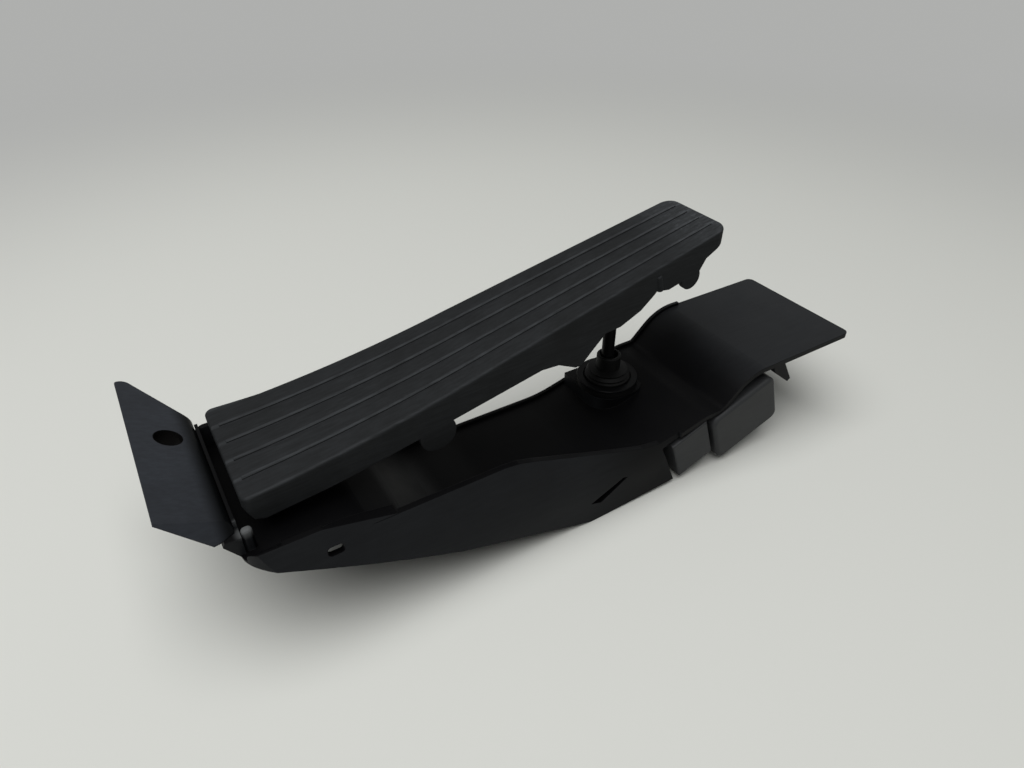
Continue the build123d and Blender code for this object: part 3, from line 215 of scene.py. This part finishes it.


# painted shade mask = the greater of two: facing up or toeward times a fade along x to the open toe flange,
# and facing the near side times a fade along x toward the toe half
def addPaintedShade(plastic, look):
    mat = plastic["mat"]
    coords = addNode(mat, "ShaderNodeTexCoord", {})
    place = addNode(mat, "ShaderNodeSeparateXYZ", {0: coords.outputs["Object"]})
    facing = addNode(mat, "ShaderNodeSeparateXYZ", {0: coords.outputs["Normal"]})
    toTop = addNode(mat, "ShaderNodeMath", {
        "operation": "MAXIMUM", 0: facing.outputs[2], 1: facing.outputs[0]})
    upper = addNode(mat, "ShaderNodeMapRange", {
        "Value": toTop.outputs[0], "From Min": look["faceFrom"], "From Max": look["faceTo"]})
    cover = addNode(mat, "ShaderNodeMapRange", {
        "interpolation_type": "SMOOTHSTEP", "Value": place.outputs[0],
        "From Min": look["coverTo"], "From Max": look["openFrom"], "To Min": 1.0, "To Max": 0.0})
    under = addNode(mat, "ShaderNodeMath", {
        "operation": "MULTIPLY", 0: upper.outputs[0], 1: cover.outputs[0]})
    wall = addNode(mat, "ShaderNodeMapRange", {
        "Value": facing.outputs[1],
        "From Min": look["wallFrom"], "From Max": look["wallTo"], "To Max": look["wallShadeShare"]})
    toeHalf = addNode(mat, "ShaderNodeMapRange", {
        "interpolation_type": "SMOOTHSTEP", "Value": place.outputs[0],
        "From Min": look["shadeStart"], "From Max": look["wallShadeFull"]})
    wallShade = addNode(mat, "ShaderNodeMath", {
        "operation": "MULTIPLY", 0: wall.outputs[0], 1: toeHalf.outputs[0]})
    mask = addNode(mat, "ShaderNodeMath", {
        "operation": "MAXIMUM", 0: under.outputs[0], 1: wallShade.outputs[0]})
    paintOver(plastic, mask.outputs[0], look["colour"])


# a round patch of another colour: mask = fade of the distance from its centre
def addPatch(plastic, look):
    mat = plastic["mat"]
    place = addNode(mat, "ShaderNodeTexCoord", {}).outputs["Object"]
    reach = addNode(mat, "ShaderNodeVectorMath", {"operation": "DISTANCE", 0: place, 1: look["centre"]})
    mask = addNode(mat, "ShaderNodeMapRange", {
        "interpolation_type": "SMOOTHSTEP", "Value": reach.outputs["Value"],
        "From Min": look["inner"], "From Max": look["outer"], "To Min": look["share"], "To Max": 0.0})
    paintOver(plastic, mask.outputs[0], look["colour"])


# painted highlight: a pale glint on the hinge post's end
postGlintLook = {
    "colour": "#6d6f70",
    "centre": (-0.1672, -0.0292, 0.0560),  # metres
    "inner": 0.0022,
    "outer": 0.0055,
    "share": 0.6,
}

# painted shade: the bolt hole's wall is painted black, in a ball a little wider than the bore
boltBore = next(mount for mount in record["mounts"] if mount["name"] == "heel_bolt")
darkRadius = boltBore["dims"]["r_mm"] + 1.0  # mm
darkFade = 0.3
holeShadeLook = {
    "colour": "#040303",
    "centre": boltBore["pos_m"],
    "inner": darkRadius / 1000,
    "outer": (darkRadius + darkFade) / 1000,
    "share": 1.0,
}

# painted shade: the plate's root, in the corner beside the hinge, is painted dark
rootShadeLook = {"colour": "#08090a", "shadeStart": -0.1770, "rootFrom": -0.1715}  # metres along the base


# painted shade mask = fade along x
def addRootShade(plastic, look):
    mat = plastic["mat"]
    coords = addNode(mat, "ShaderNodeTexCoord", {})
    place = addNode(mat, "ShaderNodeSeparateXYZ", {0: coords.outputs["Object"]})
    mask = addNode(mat, "ShaderNodeMapRange", {
        "interpolation_type": "SMOOTHSTEP", "Value": place.outputs[0],
        "From Min": look["shadeStart"], "From Max": look["rootFrom"]})
    paintOver(plastic, mask.outputs[0], look["colour"])


# painted shade under the pad and on the near wall's toe half
addPaintedShade(basePlastic, paintedShadeLook)
# painted glint on the hinge post's end
addPatch(basePlastic, postGlintLook)
# painted shade in the bolt hole
addPatch(platePlastic, holeShadeLook)
# painted shade at the plate's root
addRootShade(platePlastic, rootShadeLook)

# Pale marks on the pad, worn by shoe soles along its ribs and rims and on the scuffed toe, and on the lit
# rims also a painted highlight
padWearAndHighlightLook = {
    "colour": "#54575a",
    "heelHalf": 26.0,        # mm, half width at the heel
    "heelX": -166.0,         # mm, where the heel is
    "taper": 0.0373,         # half width lost per length
    "ribFirst": 0.2,         # shares of the half width
    "ribHalf": 0.2,          # half the step between lines
    "ribWide": 0.06,
    "ribShare": 0.30,
    "toeFrom": 0.012,        # metres along the pad
    "toeTo": 0.045,
    "toeShare": 0.30,
    "speckMm": 3.0,          # scuffs, drawn coarser than real ones so that they show
    "speckFrom": 0.54,
    "speckTo": 0.68,
    "speckGain": 1.6,
    "brokenFrom": 0.3,       # scratch noise that breaks the wear up
    "brokenTo": 0.62,
    "brokenLeast": 0.25,
    "topFrom": 0.35,         # upward part of the normal
    "topTo": 0.85,
}


# u = y over the half width; the rib lines are where u is 0.2 or 0.6 either way and the rims where it
# is 1, so a triangle wave of u gives the distance to the nearest one; a second mask grows along the
# last of the length for the toe; their sum is broken up by scratches and kept to what faces up, so on the
# rims it is partly a painted highlight
def addPadWearAndHighlight(plastic, look):
    mat = plastic["mat"]
    coords = addNode(mat, "ShaderNodeTexCoord", {})
    place = addNode(mat, "ShaderNodeSeparateXYZ", {0: coords.outputs["Object"]})
    facing = addNode(mat, "ShaderNodeSeparateXYZ", {0: coords.outputs["Normal"]})
    half = addNode(mat, "ShaderNodeMath", {
        "operation": "MULTIPLY_ADD", 0: place.outputs[0], 1: -look["taper"],
        2: (look["heelHalf"] + look["taper"] * look["heelX"]) / 1000})
    share = addNode(mat, "ShaderNodeMath", {
        "operation": "DIVIDE", 0: place.outputs[1], 1: half.outputs[0]})
    shift = addNode(mat, "ShaderNodeMath", {
        "operation": "SUBTRACT", 0: share.outputs[0], 1: look["ribFirst"]})
    wave = addNode(mat, "ShaderNodeMath", {
        "operation": "PINGPONG", 0: shift.outputs[0], 1: look["ribHalf"]})
    rib = addNode(mat, "ShaderNodeMapRange", {
        "interpolation_type": "SMOOTHSTEP", "Value": wave.outputs[0],
        "From Max": look["ribWide"], "To Min": look["ribShare"], "To Max": 0.0})
    toe = addNode(mat, "ShaderNodeMapRange", {
        "interpolation_type": "SMOOTHSTEP", "Value": place.outputs[0],
        "From Min": look["toeFrom"], "From Max": look["toeTo"], "To Max": look["toeShare"]})
    speck = addNode(mat, "ShaderNodeTexNoise", {
        "Vector": coords.outputs["Object"], "Scale": perMm(look["speckMm"]),
        "Detail": 6.0, "Roughness": 0.75})
    scuff = addNode(mat, "ShaderNodeMapRange", {
        "Value": speck.outputs[0], "From Min": look["speckFrom"], "From Max": look["speckTo"],
        "To Min": 1.0, "To Max": 1.0 + look["speckGain"]})
    toeScuff = addNode(mat, "ShaderNodeMath", {
        "operation": "MULTIPLY", 0: toe.outputs[0], 1: scuff.outputs[0]})
    most = addNode(mat, "ShaderNodeMath", {
        "operation": "ADD", 0: rib.outputs[0], 1: toeScuff.outputs[0]})
    broken = addNode(mat, "ShaderNodeMapRange", {
        "Value": plastic["scratch"],
        "From Min": look["brokenFrom"], "From Max": look["brokenTo"], "To Min": look["brokenLeast"]})
    upper = addNode(mat, "ShaderNodeMapRange", {
        "Value": facing.outputs[2], "From Min": look["topFrom"], "From Max": look["topTo"]})
    some = addNode(mat, "ShaderNodeMath", {
        "operation": "MULTIPLY", 0: most.outputs[0], 1: broken.outputs[0]})
    wearAndHighlight = addNode(mat, "ShaderNodeMath", {
        "operation": "MULTIPLY", 0: some.outputs[0], 1: upper.outputs[0]})
    # paints the pale scuffs and, on the rims, a painted highlight
    paintOver(plastic, wearAndHighlight.outputs[0], look["colour"])


addPadWearAndHighlight(padPlastic, padWearAndHighlightLook)

# Materials of one even colour, and what each gives the eye
plainLooks = {
    "epdmRubber": {"colour": "#050505", "rough": 0.62, "ior": 1.52, "specular": 0.15},  # matt, very dark
    "groundSteel": {"colour": "#b9bcc0", "rough": 0.28, "metal": 1.0},     # bright pins and screws
    "springWire": {"colour": "#8d9096", "rough": 0.34, "metal": 1.0},      # drawn wire, greyer
    "sinteredMagnet": {"colour": "#5c5e62", "rough": 0.45, "metal": 1.0},  # dull dark grey
    "contactBrass": {"colour": "#c9a456", "rough": 0.3, "metal": 1.0},     # yellow pins
    "boardLaminate": {"colour": "#1f5a34", "rough": 0.45, "ior": 1.5},     # green lacquer
    "acetalNatural": {"colour": "#cfc9b8", "rough": 0.4, "ior": 1.48},     # milky bushes
}
plain = {name: newMaterial(name, look)[0] for name, look in plainLooks.items()}

slotLooks = {
    "base_plastic": basePlastic["mat"],
    "sensor_plastic": sensorPlastic["mat"],
    "pad_plastic": padPlastic["mat"],
    "rod_plastic": rodPlastic["mat"],
    "ring_plastic": rodPlastic["mat"],
    "bush_plastic": plain["acetalNatural"],
    "boot_rubber": plain["epdmRubber"],
    "steel": plain["groundSteel"],
    "spring_steel": plain["springWire"],
    "magnet_metal": plain["sinteredMagnet"],
    "contact_brass": plain["contactBrass"],
    "board_laminate": plain["boardLaminate"],
}
nodeLooks = {"heel_plate": platePlastic["mat"]}
for subpart in record["subparts"]:
    mesh = nodes[subpart["node"]].data
    mesh.materials.clear()
    mesh.materials.append(nodeLooks.get(subpart["node"], slotLooks[subpart["material_slot"]]))
print("materials:", len(slotLooks), "slots")

# Return springs under the lever, drawn again as coils on the base
springLook = {
    "centre": (30.0, 0.0),   # mm
    "low": 1.6,
    "high": 16.0,
    "turns": 3.5,
    "sides": 10,
    "steps": 85,
    "keep": 0.24,            # share of the height left with the pedal fully down
    "coils": {"return_spring_outer": (4.2, 0.65), "return_spring_inner": (2.4, 0.45)},  # coil and wire radius
}


# helix: centre + coil radius * (cos t, sin t), height in proportion to t; round the wire,
# wire radius * (cos s * outward + sin s * upward)
def makeSpring(node, look):
    coil, wire = look["coils"][node]
    steps = look["steps"]
    sides = look["sides"]
    t = np.linspace(0, 2 * np.pi * look["turns"], steps)[:, None]
    s = np.linspace(0, 2 * np.pi, sides, endpoint=False)[None, :]
    reach = coil + wire * np.cos(s)
    rise = look["high"] - look["low"] - 2 * wire
    x = look["centre"][0] + reach * np.cos(t)
    y = look["centre"][1] + reach * np.sin(t)
    z = look["low"] + wire + rise * t / t.max() + wire * np.sin(s)
    points = np.stack([x, y, z], axis=-1).reshape(-1, 3) / 1000
    row = np.arange(steps - 1)[:, None] * sides
    ahead = row + sides
    this = np.arange(sides)[None, :]
    after = (this + 1) % sides
    faces = np.stack([row + this, ahead + this, ahead + after, row + after], axis=-1)
    first = list(range(sides))
    last = [(steps - 1) * sides + k for k in reversed(first)]
    mesh = bpy.data.meshes.new(node + "Coil")
    mesh.from_pydata(points.tolist(), [], faces.reshape(-1, 4).tolist() + [first, last])
    mesh.shade_smooth()
    mesh.materials.append(plain["springWire"])
    spring = addObject(node + "Coil", mesh)
    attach(spring, "base")
    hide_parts(node)
    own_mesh(spring)


for node in springLook["coils"]:
    makeSpring(node, springLook)
print("springs:", len(springLook["coils"]))

# Far ear of the heel hinge: it stands on the far wall and holds the pin's far end
earLook = {
    "heel": -170.4,          # mm along the base
    "toe": -160.5,
    "near": 28.95,
    "far": 30.95,
    "low": 43.5,
    "high": 54.6,
    "round": 3.0,
    "steps": 9,
}


# outline in x and z with its two upper corners on quarter circles, carried straight across y
def makeEar(look):
    heel, toe, low, r = (look[key] for key in ("heel", "toe", "low", "round"))
    t = np.linspace(0, np.pi / 2, look["steps"])
    sine = r * np.sin(t)
    cosine = r * np.cos(t)
    x = np.concatenate([[heel], heel + r - cosine, toe - r + sine, [toe]])
    z = np.concatenate([[low], look["high"] - r + sine, look["high"] - r + cosine, [low]])
    count = len(x)
    rings = [np.stack([x, np.full(count, look[side]), z], axis=-1) for side in ("near", "far")]
    points = np.concatenate(rings) / 1000
    i = np.arange(count)
    after = (i + 1) % count
    around = np.stack([i, after, after + count, i + count], axis=-1)
    mesh = bpy.data.meshes.new("farHingeEar")
    mesh.from_pydata(points.tolist(), [], around.tolist() + [i[::-1].tolist(), (i + count).tolist()])
    mesh.materials.append(basePlastic["mat"])
    ear = addObject("farHingeEar", mesh)
    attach(ear, "base")


makeEar(earLook)
print("hinge: far ear")

# Plain pale floor: a flat disc of matt paper that fades into the background away from the pedal
floorLook = {
    "colour": "#d5d6d1",
    "rough": 0.9,
    "specular": 0.1,
    "radius": 2.6,           # metres
    "points": 96,
    "drop": 0.0001,          # under the sole, so that the two faces don't coincide
    "fadeFrom": 0.3,
    "fadeTo": 0.85,
    "beyond": "#d8d9d7",     # background colour and how bright the camera sees it
    "seen": 0.62,
}


# 1 for the rays that show the background: those from the camera, and those mirrored or let through
def backgroundRays(owner):
    rays = addNode(owner, "ShaderNodeLightPath", {})
    mirrored = addNode(owner, "ShaderNodeMath", {
        "operation": "MAXIMUM", 0: rays.outputs["Is Camera Ray"], 1: rays.outputs["Is Glossy Ray"]})
    through = addNode(owner, "ShaderNodeMath", {
        "operation": "MAXIMUM", 0: mirrored.outputs[0], 1: rays.outputs["Is Transmission Ray"]})
    return through.outputs[0]


# disc: a rim at radius * (cos t, sin t), filled; its paper fades with the distance from the middle
def makeFloor(look):
    t = np.linspace(0, 2 * np.pi, look["points"], endpoint=False)
    rim = np.stack([look["radius"] * np.cos(t), look["radius"] * np.sin(t), 0 * t - look["drop"]], axis=-1)
    mesh = bpy.data.meshes.new("floor")
    mesh.from_pydata(rim.tolist(), [], [list(range(look["points"]))])
    paper, shader = newMaterial("backgroundPaper", look)
    place = addNode(paper, "ShaderNodeTexCoord", {}).outputs["Object"]
    reach = addNode(paper, "ShaderNodeVectorMath", {"operation": "LENGTH", 0: place})
    far = addNode(paper, "ShaderNodeMapRange", {
        "interpolation_type": "SMOOTHSTEP", "Value": reach.outputs["Value"],
        "From Min": look["fadeFrom"], "From Max": look["fadeTo"]})
    fade = addNode(paper, "ShaderNodeMath", {
        "operation": "MULTIPLY", 0: far.outputs[0], 1: backgroundRays(paper)})
    beyond = addNode(paper, "ShaderNodeEmission", {
        "Color": hexColour(look["beyond"]), "Strength": look["seen"]})
    blend = addNode(paper, "ShaderNodeMixShader", {
        0: fade.outputs[0], 1: shader.outputs[0], 2: beyond.outputs[0]})
    surface = paper.node_tree.nodes["Material Output"].inputs["Surface"]
    paper.node_tree.links.new(blend.outputs[0], surface)
    mesh.materials.append(paper)
    return addObject("floor", mesh)


makeFloor(floorLook)
print("floor: one disc")

# Soft studio light: a broad lamp overhead, a pale window low on the far right, a weak fill from the
# near side; places and sizes in metres, power in watts
lampLook = {
    "key": {"place": (-0.4, -0.15, 1.3), "size": 1.6, "power": 20.5, "colour": "#ffffff"},
    "window": {"place": (1.5, 0.85, 0.55), "size": 0.8, "power": 0.9, "colour": "#ecf1f2"},
    "fill": {"place": (-0.2, -1.1, 0.9), "size": 1.2, "power": 0.2, "colour": "#ffffff"},
}
worldLook = {"colour": floorLook["beyond"], "strength": 0.2, "seen": floorLook["seen"]}


# a round lamp at its place, turned to the aim
def addLamp(name, look, aim):
    lamp = bpy.data.lights.new(name, "AREA")
    lamp.shape = "DISK"
    lamp.size = look["size"]
    lamp.energy = look["power"]
    lamp.color = hexColour(look["colour"])[:3]
    item = addObject(name, lamp)
    place = Vector(look["place"])
    turn = (place - Vector(aim)).to_track_quat("Z", "Y")
    item.matrix_world = Matrix.Translation(place) @ turn.to_matrix().to_4x4()


# dim as a light, brighter where the background itself is seen
def makeWorld(look):
    world = bpy.data.worlds.new("paleWorld")
    world.use_nodes = True
    background = world.node_tree.nodes["Background"]
    background.inputs["Color"].default_value = hexColour(look["colour"])
    seen = addNode(world, "ShaderNodeMapRange", {
        "Value": backgroundRays(world), "To Min": look["strength"], "To Max": look["seen"]})
    world.node_tree.links.new(seen.outputs[0], background.inputs["Strength"])
    bpy.context.scene.world = world


middle = (np.array(cadBox[0]) + np.array(cadBox[1])) / 2
for name, look in lampLook.items():
    addLamp(name + "Lamp", look, middle)
makeWorld(worldLook)
print("light:", len(lampLook), "lamps and the world")

# Camera where the photograph was taken from
cameraLook = {
    "place": (-0.1746, -0.2015, 0.2243),  # metres
    "azimuth": -31.602,      # degrees
    "elevation": 36.740,
    "roll": 0.17,
    "sensorMm": 36.0,
    "lensMm": 24.744,
    "clipStart": 0.01,
}


# back, from the object to the camera, comes from azimuth and elevation, right is level, and up is
# square to both; the roll turns the picture about the line of sight
def makeCamera(look):
    az, el, roll = (math.radians(look[key]) for key in ("azimuth", "elevation", "roll"))
    back = Vector((math.sin(az) * math.cos(el), -math.cos(az) * math.cos(el), math.sin(el)))
    right = Vector((math.cos(az), math.sin(az), 0.0))
    up = back.cross(right)
    turn = Matrix((right, up, back)).transposed() @ Matrix.Rotation(roll, 3, "Z")
    lens = bpy.data.cameras.new("camera")
    lens.sensor_fit = "HORIZONTAL"
    lens.sensor_width = look["sensorMm"]
    lens.lens = look["lensMm"]
    lens.clip_start = look["clipStart"]
    item = addObject("camera", lens)
    item.matrix_world = Matrix.Translation(Vector(look["place"])) @ turn.to_4x4()
    bpy.context.scene.camera = item


makeCamera(cameraLook)
bpy.context.scene.view_settings.view_transform = "Standard"

print("done")
